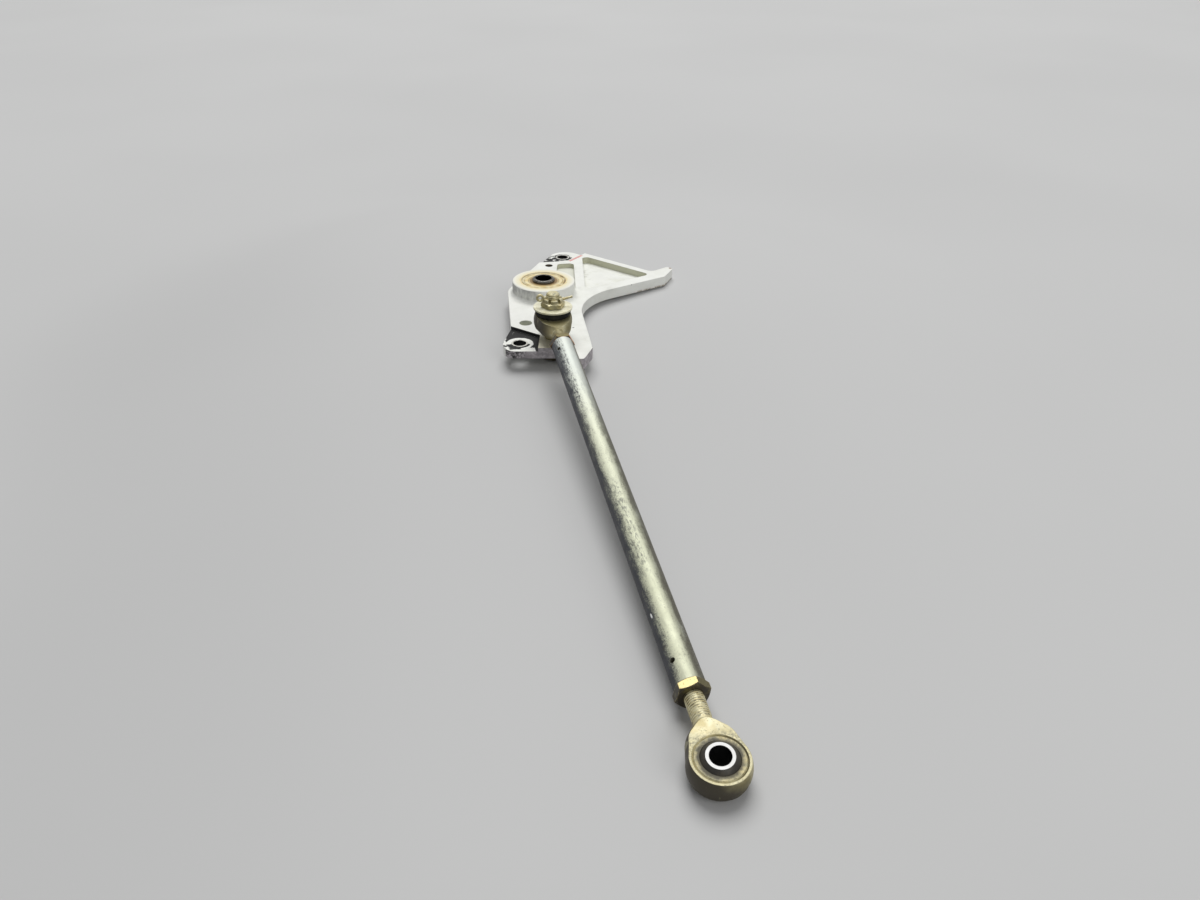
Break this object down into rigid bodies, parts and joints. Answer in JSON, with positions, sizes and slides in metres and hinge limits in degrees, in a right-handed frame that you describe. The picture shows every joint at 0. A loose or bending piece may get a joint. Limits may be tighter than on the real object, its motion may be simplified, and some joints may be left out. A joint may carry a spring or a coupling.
{
  "type": "bellcrank with push-pull rod",
  "caption": "Flat three-armed aircraft control bellcrank on a bearing boss, with a tubular push-pull rod bolted to one arm by a swivelling rod end and free at its other rod end.",
  "frame": {"origin": "on the pivot axis, in the plane of the crank plate's underside", "axes": "+Z along the pivot axis and up through the plate, +Y along the rod from its free end to the crank, +X toward the side arm"},
  "size_m": [0.137, 0.493, 0.0529],
  "materials": {
    "crank": "matt silver-white anodised, painted black on one ear",
    "bush": "dull pressed-in bush",
    "bearing_steel": "yellow with old grease",
    "ball_steel": "polished",
    "seal": "grease-stained seal",
    "sleeve": "dark steel with a bright rim",
    "plated": "yellow cadmium plating, worn",
    "swivel": "polished",
    "boot": "black",
    "race": "satin",
    "jam_nut": "yellow-orange cadmium plating",
    "tube": "satin grey-green, scuffed"
  },
  "bodies": {
    "crank": {"crank_plate": "crank", "front_ear_bush": "bush", "rear_ear_bush": "bush", "bearing_outer_ring": "bearing_steel", "upper_seal": "seal", "lower_seal": "seal", "rod_bolt": "plated", "bolt_head_washer": "plated", "ball_spacer": "plated", "far_ball": "swivel", "thin_washer": "plated", "retaining_washer": "plated", "castle_nut": "plated", "cotter_pin": "plated"},
    "pivot": {"bearing_inner_ring": "bearing_steel", "pivot_sleeve": "sleeve"},
    "ball_ring": {"bearing_balls": "ball_steel"},
    "boot": {"dust_boot": "boot"},
    "pushrod": {"far_rod_end": "plated", "far_race": "race", "far_jam_nut": "jam_nut", "far_tube_plug": "tube", "pushrod_tube": "tube", "near_tube_plug": "tube", "near_jam_nut": "jam_nut", "near_rod_end": "plated", "near_race": "race"},
    "near_swivel": {"near_ball": "swivel"}
  },
  "joints": [
    {"name": "pivot_spin", "type": "hinge", "parent": "crank", "child": "pivot", "pos_m": [0, 0, 0], "axis": [0, 0, 1], "continuous": true},
    {"name": "ball_ring_spin", "type": "hinge", "parent": "crank", "child": "ball_ring", "pos_m": [0, 0, 0], "axis": [0, 0, 1], "continuous": true},
    {"name": "rod_swing", "type": "hinge", "parent": "crank", "child": "boot", "pos_m": [-0.0067, -0.0736, 0.0183], "axis": [0, 0, 1], "range_deg": [-120, 120]},
    {"name": "rod_tilt", "type": "hinge", "parent": "boot", "child": "pushrod", "pos_m": [-0.0067, -0.0736, 0.0183], "axis": [-1, 0, 0], "range_deg": [-1.5, 11.5], "deforming": ["dust_boot"]},
    {"name": "near_ball_spin", "type": "hinge", "parent": "pushrod", "child": "near_swivel", "pos_m": [-0.0067, -0.39789, -0.00979], "axis": [-0.0678, -0.1657, 0.9838], "continuous": true}
  ],
  "couplings": [
    {"joint": "ball_ring_spin", "follows": "pivot_spin", "ratio": 0.3942}
  ]
}
